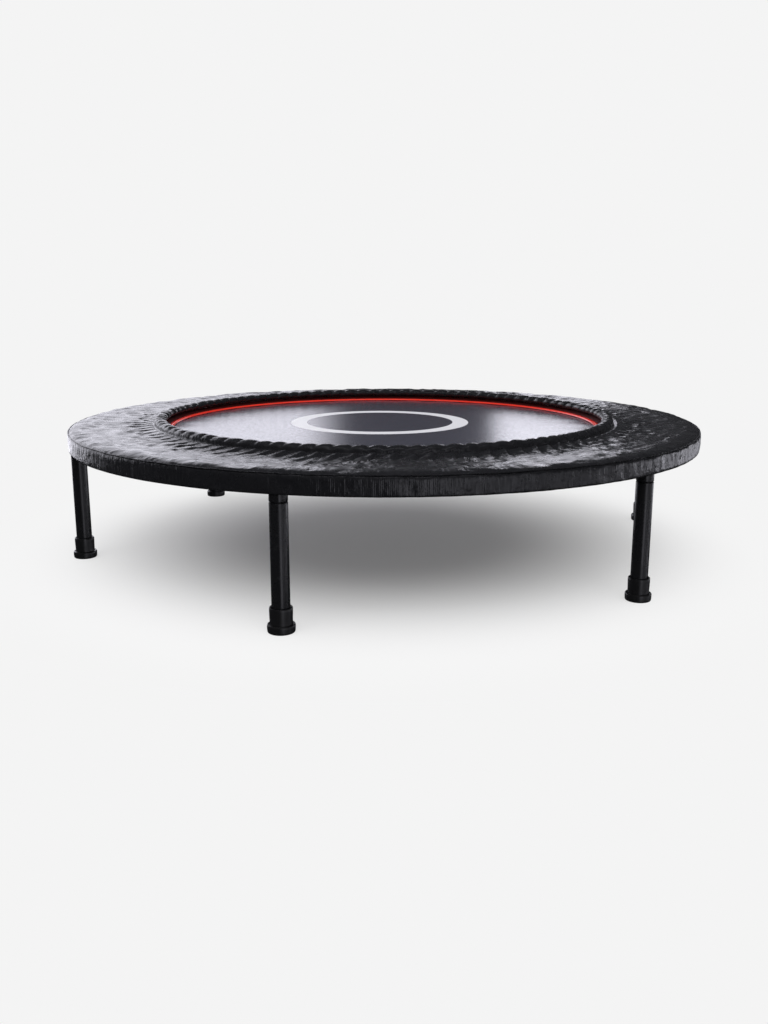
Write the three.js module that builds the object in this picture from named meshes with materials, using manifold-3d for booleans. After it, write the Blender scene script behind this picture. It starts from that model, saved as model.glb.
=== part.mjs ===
// Mini trampoline (fitness rebounder), 1016 mm across, as separate pieces.
// Millimetres, +Z up. The origin is on the floor under the middle of the mat.
//
// A hollow steel ring carries six screw-on legs and, through thirty coil springs, a round woven mat.
// An elasticated fabric cover hides the ring and the springs.

import * as THREE from 'three';
import { mergeVertices } from 'three/addons/utils/BufferGeometryUtils.js';
import Module from 'manifold-3d';

const wasm = await Module();
wasm.setup();

// ---------------------------------------------------------------- driving dimensions

const RING_SEGMENTS = 60;            // round the object; a multiple of the six legs and thirty springs
const TUBE_SIDES = 8;                // round the section of the ring tube
const LEG_SIDES = 12;
const SPRING_SIDES = 6;
const GAP = 0.4;                     // clearance between pieces that touch on the real object

const COVER_RADIUS = 508;            // outside of the skirt
const SKIRT_BOTTOM_Z = 177.2;
const SEAM_Z = 202.4;                // where the skirt turns over to the top panel
const SKIRT_INSIDE_RADIUS = 506.6;

const RING_RADIUS = 493.5;           // to the middle of the tube
const RING_Z = 190.5;
const RING_TUBE_RADIUS = 12.5;
const RING_WALL = 1.2;

const LEG_COUNT = 6;
const FIRST_LEG_ANGLE = 15;          // degrees from +X
const LEG_CIRCLE = 494.2;
const LEG_RADIUS = 11.8;             // 23.6 mm tube
const LEG_WALL = 1.2;
const LEG_TOP_Z = 165.4;
const LEG_END_PLATE = 4;
const STUD_RADIUS = 4.8;             // M10 thread
const STUD_LENGTH = 18;
const SOCKET_BOTTOM_Z = 167;
const SOCKET_TOP_Z = 181.5;
const THREAD_BORE_RADIUS = 5.3;
const STUD_HOLE_RADIUS = 5.7;        // in the underside of the ring tube
const WASHER_RADIUS = 11.2;
const WASHER_THICKNESS = 0.9;

const FOOT_RADIUS = 18;
const FOOT_FLANGE_HEIGHT = 10.5;
const FOOT_SLEEVE_RADIUS = 14.9;
const FOOT_HEIGHT = 32.5;
const FOOT_SOLE = 4;                 // rubber under the end of the tube
const FOOT_CHAMFER = 0.9;

const MAT_RADIUS = 364;
const MAT_TOP_Z = 197.3;
const MAT_THICKNESS = 1.5;
const MAT_FACE_RADIUS = 346.5;       // the flat face inside the binding
const MAT_HEM_DROP = 0.3;            // how far the binding presses down the edge outside it
const BAND_INNER_RADIUS = 347.5;
const BAND_OUTER_RADIUS = 372;
const BAND_LIP_RISE = 3.3;           // crest of the binding's inner lip above the mat
const BAND_RISE = 7.3;               // and of its outer side, which climbs under the cover

const SPRING_COUNT = 30;
const SPRING_INNER = { radius: 386, z: 193 };
const SPRING_OUTER = { radius: 485, z: 190.4 };
const SPRING_COIL_RADIUS = 5.7;
const SPRING_HOOK_RADIUS = 1.5;
const SPRING_INNER_HOOK = 16;        // from the end to the first turn
const SPRING_OUTER_HOOK = 21;
const SPRING_SHOULDER = 2;
const HOOK_HOLE_RADIUS = 2.3;

const PIPING_SIZE = 1.6;

// ---------------------------------------------------------------- finishes

const finishes = {
  blackPaint: { color: 0x1a1b1d, roughness: 0.42, metalness: 0.3 },
  zincSteel: { color: 0xb4b6b8, roughness: 0.32, metalness: 0.9 },
  nylon: { color: 0x0d0d0e, roughness: 0.6, metalness: 0 },
  blackRubber: { color: 0x121213, roughness: 0.7, metalness: 0 },
  matWeave: { color: 0x2c2d33, roughness: 0.35, metalness: 0 },
  redBinding: { color: 0xb01a12, roughness: 0.28, metalness: 0 },
  coverFabric: { color: 0x1c1c20, roughness: 0.45, metalness: 0 },
  elastic: { color: 0x0b0b0c, roughness: 0.85, metalness: 0 },
};

// ---------------------------------------------------------------- helpers

const degrees = THREE.MathUtils.degToRad;

const model = new THREE.Group();

function addPiece(parent, name, geometry, finish) {
  const mesh = new THREE.Mesh(geometry, new THREE.MeshStandardMaterial(finishes[finish]));
  mesh.name = name;
  parent.add(mesh);
  return mesh;
}

// Turns a [radius, z] outline about +Z. The outline runs anticlockwise, so the faces point out.
function turned(outline, sides) {
  const points = outline.map(([radius, z]) => new THREE.Vector2(radius, z));
  const geometry = new THREE.LatheGeometry(points, sides);
  geometry.rotateX(Math.PI / 2);
  return geometry;
}

// A ring's outline comes back to its first point.
function turnedRing(outline, sides) {
  return turned([...outline, outline[0]], sides);
}

function circleOutline(centreRadius, centreZ, sectionRadius, sides) {
  const outline = [];
  for (let i = 0; i < sides; i += 1) {
    const angle = (2 * Math.PI * i) / sides;
    outline.push([
      centreRadius + sectionRadius * Math.cos(angle),
      centreZ + sectionRadius * Math.sin(angle),
    ]);
  }
  return outline;
}

function boxOutline(innerRadius, outerRadius, bottomZ, topZ) {
  return [[innerRadius, bottomZ], [outerRadius, bottomZ], [outerRadius, topZ], [innerRadius, topZ]];
}

function rodOutline(radius, bottomZ, topZ) {
  return [[0, bottomZ], [radius, bottomZ], [radius, topZ], [0, topZ]];
}

function toManifold(geometry) {
  const bare = geometry.clone();
  bare.deleteAttribute('normal');
  bare.deleteAttribute('uv');
  const merged = mergeVertices(bare);
  const vertProperties = new Float32Array(merged.attributes.position.array);
  const triVerts = new Uint32Array(merged.index.array);
  return new wasm.Manifold(new wasm.Mesh({ numProp: 3, vertProperties, triVerts }));
}

function fromManifold(solid) {
  const mesh = solid.getMesh();
  const geometry = new THREE.BufferGeometry();
  geometry.setAttribute('position', new THREE.BufferAttribute(mesh.vertProperties, 3));
  geometry.setIndex(new THREE.BufferAttribute(mesh.triVerts, 1));
  geometry.computeVertexNormals();
  return geometry;
}

function legAngle(index) {
  return FIRST_LEG_ANGLE + (360 / LEG_COUNT) * index;
}

// Springs stand evenly on both sides of each leg.
function springAngle(index) {
  const step = 360 / SPRING_COUNT;
  return FIRST_LEG_ANGLE + step / 2 + step * index;
}

// ---------------------------------------------------------------- ring frame

// A torus of the ring tube's centre line, with the tube's radius plus `extra`.
function ringTorus(extra) {
  const section = circleOutline(RING_RADIUS, RING_Z, RING_TUBE_RADIUS + extra, TUBE_SIDES);
  return turnedRing(section, RING_SEGMENTS);
}

function studHole(index) {
  const hole = turned(rodOutline(STUD_HOLE_RADIUS, RING_Z - 2 * RING_TUBE_RADIUS, RING_Z), LEG_SIDES);
  hole.translate(LEG_CIRCLE, 0, 0);
  hole.rotateZ(degrees(legAngle(index)));
  return hole;
}

function hookHole(index) {
  const reach = RING_RADIUS - RING_TUBE_RADIUS;
  const hole = turned(rodOutline(HOOK_HOLE_RADIUS, reach - 3, reach + 5), SPRING_SIDES);
  hole.rotateY(Math.PI / 2);
  hole.translate(0, 0, RING_Z);
  hole.rotateZ(degrees(springAngle(index)));
  return hole;
}

// The tube is hollow, and opens through the stud holes and the spring hook holes.
function frameRing() {
  let ring = toManifold(ringTorus(0)).subtract(toManifold(ringTorus(-RING_WALL)));
  for (let i = 0; i < LEG_COUNT; i += 1) {
    ring = ring.subtract(toManifold(studHole(i)));
  }
  for (let i = 0; i < SPRING_COUNT; i += 1) {
    ring = ring.subtract(toManifold(hookHole(i)));
  }
  return fromManifold(ring);
}

// ---------------------------------------------------------------- legs, in the frame of one leg

// Welded under the ring: a threaded stub whose top is cut to the tube's shape.
function legSocket() {
  const outline = boxOutline(THREAD_BORE_RADIUS, LEG_RADIUS, SOCKET_BOTTOM_Z, SOCKET_TOP_Z);
  const saddle = ringTorus(GAP);
  saddle.rotateZ(-degrees(FIRST_LEG_ANGLE));
  saddle.translate(-LEG_CIRCLE, 0, 0);
  const stub = turnedRing(outline, LEG_SIDES);
  stub.rotateZ(degrees(180 / LEG_SIDES));
  return fromManifold(toManifold(stub).subtract(toManifold(saddle)));
}

function legWasher() {
  const bottom = (LEG_TOP_Z + SOCKET_BOTTOM_Z - WASHER_THICKNESS) / 2;
  const outline = boxOutline(THREAD_BORE_RADIUS, WASHER_RADIUS, bottom, bottom + WASHER_THICKNESS);
  return turnedRing(outline, LEG_SIDES);
}

// A tube open at the bottom, closed at the top by a welded plate that carries the stud.
function legTube() {
  const boreRadius = LEG_RADIUS - LEG_WALL;
  const bottom = FOOT_SOLE + GAP;
  const outline = [
    [0, LEG_TOP_Z - LEG_END_PLATE],
    [boreRadius, LEG_TOP_Z - LEG_END_PLATE],
    [boreRadius, bottom],
    [LEG_RADIUS, bottom],
    [LEG_RADIUS, LEG_TOP_Z],
    [STUD_RADIUS, LEG_TOP_Z],
    [STUD_RADIUS, LEG_TOP_Z + STUD_LENGTH - 1],
    [STUD_RADIUS - 1, LEG_TOP_Z + STUD_LENGTH],
    [0, LEG_TOP_Z + STUD_LENGTH],
  ];
  return turned(outline, LEG_SIDES);
}

// A push-on ferrule: a wide flange on the floor and a sleeve that grips the tube.
function rubberFoot() {
  const bore = LEG_RADIUS + GAP;
  const outline = [
    [0, 0],
    [FOOT_RADIUS - FOOT_CHAMFER, 0],
    [FOOT_RADIUS, FOOT_CHAMFER],
    [FOOT_RADIUS, FOOT_FLANGE_HEIGHT - FOOT_CHAMFER],
    [FOOT_RADIUS - FOOT_CHAMFER, FOOT_FLANGE_HEIGHT],
    [FOOT_SLEEVE_RADIUS, FOOT_FLANGE_HEIGHT],
    [FOOT_SLEEVE_RADIUS, FOOT_HEIGHT - FOOT_CHAMFER],
    [FOOT_SLEEVE_RADIUS - FOOT_CHAMFER, FOOT_HEIGHT],
    [bore, FOOT_HEIGHT],
    [bore, FOOT_SOLE],
    [0, FOOT_SOLE],
  ];
  return turned(outline, LEG_SIDES);
}

function addLegs() {
  const shapes = {
    leg_socket: legSocket(),
    leg_washer: legWasher(),
    leg_tube: legTube(),
    rubber_foot: rubberFoot(),
  };
  // Turned so that a flat of each facetted piece faces the skirt.
  for (const shape of [shapes.leg_washer, shapes.leg_tube, shapes.rubber_foot]) {
    shape.rotateZ(degrees(180 / LEG_SIDES));
  }
  const legFinishes = {
    leg_socket: 'blackPaint',
    leg_washer: 'nylon',
    leg_tube: 'blackPaint',
    rubber_foot: 'blackRubber',
  };
  for (let i = 0; i < LEG_COUNT; i += 1) {
    const leg = new THREE.Group();
    const angle = degrees(legAngle(i));
    leg.position.set(LEG_CIRCLE * Math.cos(angle), LEG_CIRCLE * Math.sin(angle), 0);
    leg.rotation.z = angle;
    for (const [name, shape] of Object.entries(shapes)) {
      addPiece(leg, `${name}_${i + 1}`, shape, legFinishes[name]);
    }
    model.add(leg);
  }
}

// ---------------------------------------------------------------- mat and its binding

function jumpingMat() {
  const bottom = MAT_TOP_Z - MAT_THICKNESS;
  const hem = MAT_TOP_Z - MAT_HEM_DROP;
  return turned([
    [0, bottom],
    [MAT_RADIUS, bottom],
    [MAT_RADIUS, hem],
    [MAT_FACE_RADIUS, hem],
    [MAT_FACE_RADIUS, MAT_TOP_Z],
    [0, MAT_TOP_Z],
  ], RING_SEGMENTS);
}

// The binding wraps the mat's edge and opens inwards, where the mat goes in. From a lip at its
// inner side it climbs outwards under the cover.
function matEdgeBand() {
  const above = MAT_TOP_Z + GAP;
  const below = MAT_TOP_Z - MAT_THICKNESS - GAP;
  const slot = MAT_RADIUS + GAP;
  const bottom = below - 1.8;
  const lip = MAT_TOP_Z + BAND_LIP_RISE;
  const crest = MAT_TOP_Z + BAND_RISE;
  return turnedRing([
    [BAND_INNER_RADIUS + 3, bottom],
    [BAND_OUTER_RADIUS - 1, bottom],
    [BAND_OUTER_RADIUS, bottom + 1.2],
    [BAND_OUTER_RADIUS, crest - 2.2],
    [BAND_OUTER_RADIUS - 2.6, crest],
    [BAND_OUTER_RADIUS - 10, crest - 2.4],
    [BAND_INNER_RADIUS + 4, lip],
    [BAND_INNER_RADIUS, above],
    [slot, above],
    [slot, below],
    [BAND_INNER_RADIUS + 3, below],
  ], RING_SEGMENTS);
}

// ---------------------------------------------------------------- springs

// The outer size of one coil spring with its two hooks, laid from the mat's edge to the ring's hole.
function addSprings() {
  const along = SPRING_OUTER.radius - SPRING_INNER.radius;
  const rise = SPRING_OUTER.z - SPRING_INNER.z;
  const length = Math.hypot(along, rise);
  const coilStart = SPRING_INNER_HOOK + SPRING_SHOULDER;
  const coilEnd = length - SPRING_OUTER_HOOK - SPRING_SHOULDER;
  const spring = turned([
    [0, 0],
    [SPRING_HOOK_RADIUS, 0],
    [SPRING_HOOK_RADIUS, SPRING_INNER_HOOK],
    [SPRING_COIL_RADIUS, coilStart],
    [SPRING_COIL_RADIUS, coilEnd],
    [SPRING_HOOK_RADIUS, length - SPRING_OUTER_HOOK],
    [SPRING_HOOK_RADIUS, length],
    [0, length],
  ], SPRING_SIDES);
  spring.rotateY(Math.PI / 2 - Math.atan2(rise, along));
  spring.translate(SPRING_INNER.radius, 0, SPRING_INNER.z);
  for (let i = 0; i < SPRING_COUNT; i += 1) {
    const number = String(i + 1).padStart(2, '0');
    const mesh = addPiece(model, `spring_${number}`, spring, 'zincSteel');
    mesh.rotation.z = degrees(springAngle(i));
  }
}

// ---------------------------------------------------------------- fabric cover

// A shallow cap of quilted fabric: skirt, top panel and the gathered roll round the mat.
// The roll is open underneath, where the elastic lies.
function springCover() {
  return turnedRing([
    [COVER_RADIUS, SKIRT_BOTTOM_Z],
    [COVER_RADIUS, SEAM_Z],
    [COVER_RADIUS - 4, SEAM_Z + 2.8],
    [496, 206.9],
    [484, 207.1],
    [455, 205],
    [425, 204.4],
    [398, 205.2],
    [386, 207.4],
    [380, 212.6],
    [371, 216.6],
    [362, 214.8],
    [358.2, 209],
    [360.8, 209],
    [365.2, 212.8],
    [372, 213.8],
    [378, 209.6],
    [384, 203.6],
    [394, 199.5],
    [RING_RADIUS, 203.5],
    [501, 203.6],
    [SKIRT_INSIDE_RADIUS, 201.2],
    [SKIRT_INSIDE_RADIUS, SKIRT_BOTTOM_Z],
  ], RING_SEGMENTS);
}

function innerElastic() {
  return turnedRing(boxOutline(370.4, 371.9, 207.4, 212.6), RING_SEGMENTS);
}

// The welt along the top outer seam, sewn on just above the turn of the fabric.
function coverPiping() {
  const bottom = SEAM_Z + 2 + GAP;
  const outer = COVER_RADIUS - 0.4;
  return turnedRing(boxOutline(outer - PIPING_SIZE, outer, bottom, bottom + PIPING_SIZE), RING_SEGMENTS);
}

// ---------------------------------------------------------------- assembly

addPiece(model, 'frame_ring', frameRing(), 'blackPaint');
addLegs();
addPiece(model, 'mat', jumpingMat(), 'matWeave');
addPiece(model, 'mat_edge_band', matEdgeBand(), 'redBinding');
addSprings();
addPiece(model, 'cover', springCover(), 'coverFabric');
addPiece(model, 'cover_piping', coverPiping(), 'coverFabric');
addPiece(model, 'inner_elastic', innerElastic(), 'elastic');

export default model;
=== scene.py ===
import math

import bmesh
import bpy
import numpy as np
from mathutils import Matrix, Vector


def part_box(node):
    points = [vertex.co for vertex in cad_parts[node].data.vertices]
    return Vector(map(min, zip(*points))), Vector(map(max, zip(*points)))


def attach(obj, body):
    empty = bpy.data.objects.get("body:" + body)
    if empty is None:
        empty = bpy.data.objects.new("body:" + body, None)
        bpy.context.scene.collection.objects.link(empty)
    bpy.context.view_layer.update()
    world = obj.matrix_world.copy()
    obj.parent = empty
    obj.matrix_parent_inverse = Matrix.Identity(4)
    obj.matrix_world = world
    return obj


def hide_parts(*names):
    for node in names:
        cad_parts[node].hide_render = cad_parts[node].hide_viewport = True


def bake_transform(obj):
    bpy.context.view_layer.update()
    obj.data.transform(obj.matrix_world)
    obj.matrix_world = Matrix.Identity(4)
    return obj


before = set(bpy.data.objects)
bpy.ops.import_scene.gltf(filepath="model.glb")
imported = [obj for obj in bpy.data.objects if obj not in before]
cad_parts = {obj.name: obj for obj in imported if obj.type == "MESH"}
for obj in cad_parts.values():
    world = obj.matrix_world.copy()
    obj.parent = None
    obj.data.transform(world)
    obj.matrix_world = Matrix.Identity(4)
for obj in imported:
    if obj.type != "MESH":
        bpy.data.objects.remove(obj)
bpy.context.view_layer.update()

# ---------------------------------------- driving dimensions, in metres

MM = 0.001
LEG_COUNT = 6
FIRST_LEG_ANGLE = math.radians(15)
SPRING_COUNT = 30
PUFF_COUNT = 98                      # gathers round the inner edge of the cover

COVER_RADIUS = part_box("cover")[1].x
SKIRT_BOTTOM_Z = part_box("cover")[0].z
RING_Z = (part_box("frame_ring")[0].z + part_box("frame_ring")[1].z) / 2
RING_TUBE_RADIUS = 12.5 * MM
RING_WALL = 1.2 * MM
RING_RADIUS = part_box("frame_ring")[1].x - RING_TUBE_RADIUS
MAT_TOP_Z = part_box("mat")[1].z
MAT_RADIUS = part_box("mat")[1].x
LEG_RADIUS = 11.8 * MM
LEG_TOP_Z = 165.4 * MM
LEG_CIRCLE = 494.2 * MM
SOCKET_BOTTOM_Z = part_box("leg_socket_1")[0].z
STUD_RADIUS = 4.95 * MM
STUD_PITCH = 1.5 * MM
THREAD_DEPTH = 0.62 * MM
SPRING_INNER = Vector((390 * MM, 0, 192.9 * MM))   # where the hook holds the wire ring
SPRING_OUTER = Vector((485 * MM, 0, 190.4 * MM))   # where it ends inside the ring tube

PRINT_CENTRE = (-7.3 * MM, 24 * MM, 0)             # the ring printed on the mat
PRINT_INNER = 123.9 * MM
PRINT_OUTER = 150.5 * MM
PRINT_BLUR = 0.4 * MM
YARN_WIDTH = 1.3 * MM
RIB_COUNT = 1330                     # ribs of the skirt's fabric, all the way round

BACKGROUND = 0.905
FLOOR_GLOW = 0.09                    # the part of the floor's brightness that no shadow takes away
SHADOW_FADE = (0.17, 0.70)           # from here to there the floor turns into the backdrop
DOME_STRENGTH = 0.72
ROOM_STRENGTH = 0.045
SCREEN_DISTANCE = 4.5
SCREEN_COLOR = (0.91, 0.905, 1.0, 1)


# ---------------------------------------- camera and light

def add_camera():
    data = bpy.data.cameras.new("Camera")
    camera = bpy.data.objects.new("Camera", data)
    bpy.context.scene.collection.objects.link(camera)
    data.sensor_width = 36
    data.lens = 33.975
    camera.location = (0, -1.6204, 0.4141)
    camera.rotation_euler = (math.radians(77.13), 0, 0)
    bpy.context.scene.camera = camera


def bare_tree(owner):
    """Empties a material's or the world's node tree, and gives its ways to add and link nodes."""
    owner.use_nodes = True
    tree = owner.node_tree
    tree.nodes.clear()
    return tree.nodes.new, tree.links.new


def screen_material(name, strength, fades):
    """A light that fades towards its two sides. fades are parts of its width."""
    material = bpy.data.materials.new(name)
    add, link = bare_tree(material)
    output = add("ShaderNodeOutputMaterial")
    emission = add("ShaderNodeEmission")
    link(emission.outputs[0], output.inputs[0])
    uv = add("ShaderNodeUVMap")
    uv.uv_map = "cloth"
    split = add("ShaderNodeSeparateXYZ")
    link(uv.outputs[0], split.inputs[0])
    ramp = add("ShaderNodeValToRGB")
    ramp.color_ramp.interpolation = "EASE"
    edges = [(0.0, 0.0), (max(fades[0], 0.001), 1.0), (1 - max(fades[1], 0.001), 1.0), (1.0, 0.0)]
    while len(ramp.color_ramp.elements) < len(edges):
        ramp.color_ramp.elements.new(0.5)
    for element, (place, value) in zip(ramp.color_ramp.elements, edges):
        element.position = place
        element.color = (value, value, value, 1)
    link(split.outputs["X"], ramp.inputs[0])
    scale = add("ShaderNodeMath")
    scale.operation = "MULTIPLY"
    scale.inputs[1].default_value = strength
    link(ramp.outputs[0], scale.inputs[0])
    link(scale.outputs[0], emission.inputs["Strength"])
    emission.inputs["Color"].default_value = SCREEN_COLOR
    return material


def emitter(name, azimuths, heights, strength, softness=(0.0, 0.0), distance=SCREEN_DISTANCE):
    """An upright curved screen round the object, which gives light but isn't seen by the camera.

    azimuths are degrees clockwise from +Y as seen from above, and softness is how far each side's
    edge fades, in degrees."""
    points = []
    for azimuth in np.radians(np.linspace(*azimuths, 49)):
        x, y = distance * math.sin(azimuth), distance * math.cos(azimuth)
        points.append([(x, y, z) for z in heights])
    screen = grid_object(name, np.array(points), uv=True)
    width = azimuths[1] - azimuths[0]
    fades = [angle / width for angle in softness]
    screen.data.materials.append(screen_material(name, strength, fades))
    screen.visible_camera = False
    screen.visible_shadow = False


def add_lamp():
    """A big soft lamp above and in front, which no reflection shows."""
    data = bpy.data.lights.new("Overhead", "AREA")
    data.shape = "RECTANGLE"
    data.size, data.size_y = 4.2, 4.2
    data.energy = 110
    lamp = bpy.data.objects.new("Overhead", data)
    bpy.context.scene.collection.objects.link(lamp)
    lamp.location = (-0.2, -1.2, 3.0)
    direction = Vector((0, 0, 0.1)) - lamp.location
    lamp.rotation_euler = direction.to_track_quat("-Z", "Y").to_euler()
    lamp.visible_camera = False
    lamp.visible_glossy = False


def add_world():
    """The camera sees a pale even backdrop. Matte surfaces are lit by a soft dome, and glossy ones
    reflect a dim room, so that the screens draw their highlights."""
    world = bpy.data.worlds.new("Studio")
    bpy.context.scene.world = world
    add, link = bare_tree(world)
    output = add("ShaderNodeOutputWorld")
    path = add("ShaderNodeLightPath")

    def background(color, strength):
        made = add("ShaderNodeBackground")
        made.inputs["Color"].default_value = color
        made.inputs["Strength"].default_value = strength
        return made.outputs[0]

    def mixed(ray, first, second):
        mix = add("ShaderNodeMixShader")
        link(path.outputs[ray], mix.inputs[0])
        link(first, mix.inputs[1])
        link(second, mix.inputs[2])
        return mix.outputs[0]

    dome = background((1, 1, 1, 1), DOME_STRENGTH)
    room = background((0.88, 0.9, 1.0, 1), ROOM_STRENGTH)
    backdrop = background((BACKGROUND, BACKGROUND, BACKGROUND, 1), 1)
    lit = mixed("Is Glossy Ray", dome, room)
    link(mixed("Is Camera Ray", lit, backdrop), output.inputs[0])


def add_floor():
    """A pale floor that takes the object's shadow and fades into the backdrop further out."""
    size = 60
    floor = grid_object("Floor", np.array([[(-size, -size, 0), (-size, size, 0)],
                                           [(size, -size, 0), (size, size, 0)]], float))
    material = bpy.data.materials.new("Floor")
    add, link = bare_tree(material)
    output = add("ShaderNodeOutputMaterial")
    matte = add("ShaderNodeBsdfDiffuse")
    matte.inputs["Color"].default_value = (0.7, 0.7, 0.7, 1)
    path = add("ShaderNodeLightPath")

    def glow(level):
        made = add("ShaderNodeEmission")
        made.inputs["Color"].default_value = (level, level, level, 1)
        link(path.outputs["Is Camera Ray"], made.inputs["Strength"])
        return made.outputs[0]

    near = add("ShaderNodeAddShader")
    link(matte.outputs[0], near.inputs[0])
    link(glow(FLOOR_GLOW), near.inputs[1])
    place = add("ShaderNodeTexCoord")
    length = add("ShaderNodeVectorMath")
    length.operation = "LENGTH"
    link(place.outputs["Object"], length.inputs[0])
    fade = add("ShaderNodeMapRange")
    fade.interpolation_type = "SMOOTHSTEP"
    fade.inputs["From Min"].default_value = SHADOW_FADE[0]
    fade.inputs["From Max"].default_value = SHADOW_FADE[1]
    link(length.outputs["Value"], fade.inputs["Value"])
    mix = add("ShaderNodeMixShader")
    link(fade.outputs[0], mix.inputs[0])
    link(near.outputs[0], mix.inputs[1])
    link(glow(BACKGROUND), mix.inputs[2])
    link(mix.outputs[0], output.inputs[0])
    floor.data.materials.append(material)
    floor.visible_glossy = False


def light_scene():
    """A lamp and a dome for the matte surfaces, and screens whose reflections shape the dark ones.

    The screens that go below the floor are for the skirt, which faces slightly downwards as the
    camera sees it; the floor doesn't hide them, because glossy rays pass it."""
    bpy.context.scene.view_settings.view_transform = "Standard"
    bpy.context.scene.view_settings.look = "None"
    add_world()
    add_floor()
    add_lamp()
    emitter("Screen_left", (-75, -2.4), (0.0, 1.9), 2.1, (6, 5))
    emitter("Screen_left_upper", (-80, -4), (1.9, 2.8), 1.8, (6, 8))
    emitter("Screen_right_low", (8.2, 17.4), (0.0, 0.83), 2.0, (0.6, 1.0))
    emitter("Screen_right", (8.9, 17.0), (0.83, 2.0), 2.7, (0.6, 1.2))
    emitter("Screen_high", (-95, -8), (2.8, 4.2), 0.4, (4, 30))
    emitter("Screen_above", (145, 215), (3.1, 3.8), 2.4, distance=2.6)
    emitter("Screen_low_left", (-62, -14), (-0.62, 0.0), 4.0, (24, 20))
    emitter("Screen_low_right", (28, 84), (-0.7, 0.0), 2.6, (40, 12))
    for start, strength in ((84, 1.7), (106, 1.4), (128, 1.2)):
        emitter(f"Screen_low_side_{start}", (start, start + 13), (-1.6, 0.3), strength, (4, 4))
    emitter("Screen_front", (144, 176), (-2.0, 1.0), 1.25, (10, 7))


# ---------------------------------------- mesh helpers

def grid_object(name, grid, wrap_u=False, wrap_v=False, uv=False):
    """A mesh from a grid of points [u, v, xyz], closed round u or v as asked."""
    nu, nv = grid.shape[:2]
    rows = np.arange(nu if wrap_u else nu - 1)
    columns = np.arange(nv if wrap_v else nv - 1)
    u, v = np.meshgrid(rows, columns, indexing="ij")
    u_next, v_next = (u + 1) % nu, (v + 1) % nv
    faces = np.stack([u * nv + v, u_next * nv + v, u_next * nv + v_next, u * nv + v_next], -1)
    faces = faces.reshape(-1, 4)
    mesh = bpy.data.meshes.new(name)
    mesh.vertices.add(nu * nv)
    mesh.vertices.foreach_set("co", grid.reshape(-1).astype(np.float32))
    mesh.loops.add(faces.size)
    mesh.loops.foreach_set("vertex_index", faces.reshape(-1).astype(np.int32))
    mesh.polygons.add(len(faces))
    mesh.polygons.foreach_set("loop_start", np.arange(0, faces.size, 4, dtype=np.int32))
    mesh.update(calc_edges=True)
    if uv:
        layer = mesh.uv_layers.new(name="cloth")
        corners = np.stack([np.stack([u, v], -1), np.stack([u + 1, v], -1),
                            np.stack([u + 1, v + 1], -1), np.stack([u, v + 1], -1)], 2)
        spans = np.array([max(len(rows), 1), max(len(columns), 1)])
        layer.data.foreach_set("uv", (corners / spans).reshape(-1).astype(np.float32))
    made = bpy.data.objects.new(name, mesh)
    bpy.context.scene.collection.objects.link(made)
    return made


def finish_mesh(made, sharp=None):
    """Merges doubled points, faces the surface outwards and shades it smooth."""
    work = bmesh.new()
    work.from_mesh(made.data)
    bmesh.ops.remove_doubles(work, verts=work.verts, dist=1e-6)
    bmesh.ops.recalc_face_normals(work, faces=work.faces)
    work.to_mesh(made.data)
    work.free()
    made.data.polygons.foreach_set("use_smooth", np.ones(len(made.data.polygons), bool))
    if sharp is not None:
        made.data.set_sharp_from_angle(angle=math.radians(sharp))
    made.data.update()
    return made


def rounded_corner(before, corner, after, reach, steps):
    """Points on a curve that leaves a corner's two sides at this reach from it."""
    start = corner + (before - corner).normalized() * reach
    end = corner + (after - corner).normalized() * reach
    places = [i / steps for i in range(steps + 1)]
    return [start * (1 - t) ** 2 + corner * 2 * t * (1 - t) + end * t ** 2 for t in places]


def softened(outline, radius, steps):
    """An outline [(r, z), ...] in millimetres with each inner corner rounded, in metres."""
    points = [Vector(p) for p in outline]
    result = [points[0]]
    for before, corner, after in zip(points, points[1:], points[2:]):
        reach = min(radius, (before - corner).length * 0.45, (after - corner).length * 0.45)
        result += rounded_corner(before, corner, after, reach, steps)
    result.append(points[-1])
    return np.array([tuple(p) for p in result]) * MM


def turned(name, outline, sides, centre=(0, 0), closed=False, sharp=None):
    """Turns an outline of (radius, z) in metres about an upright axis through centre."""
    angles = np.linspace(0, 2 * math.pi, sides, endpoint=False)
    radius, z = outline[:, 0], outline[:, 1]
    grid = np.stack([centre[0] + np.outer(np.cos(angles), radius),
                     centre[1] + np.outer(np.sin(angles), radius),
                     np.broadcast_to(z, (sides, len(z)))], -1)
    made = grid_object(name, grid, wrap_u=True, wrap_v=closed)
    return finish_mesh(made, sharp)


def swept(points, radius, sides, up=(0, 0, 1)):
    """A round wire along points: a grid of rings, with a closed end at each end."""
    path = np.asarray(points, float)
    tangent = np.gradient(path, axis=0)
    tangent /= np.linalg.norm(tangent, axis=1)[:, None]
    side = np.cross(tangent, np.asarray(up, float))
    weak = np.linalg.norm(side, axis=1) < 0.2
    side[weak] = np.cross(tangent[weak], (0.0, 1.0, 0.0))
    for i in range(1, len(side)):
        side[i] = side[i - 1] - tangent[i] * np.dot(side[i - 1], tangent[i])
        side[i] /= np.linalg.norm(side[i])
    side[0] /= np.linalg.norm(side[0])
    other = np.cross(tangent, side)
    angle = np.linspace(0, 2 * math.pi, sides, endpoint=False)
    ring = (side[:, None, :] * np.cos(angle)[None, :, None]
            + other[:, None, :] * np.sin(angle)[None, :, None])
    grid = path[:, None, :] + radius * ring
    first = np.repeat(path[:1, None, :], sides, axis=1)
    last = np.repeat(path[-1:, None, :], sides, axis=1)
    return np.concatenate([first, grid, last])


def join(name, parts):
    """Joins objects into one, which keeps the first one's materials first."""
    with bpy.context.temp_override(active_object=parts[0], selected_editable_objects=parts):
        bpy.ops.object.join()
    parts[0].name = name
    parts[0].data.name = name
    return parts[0]


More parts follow.
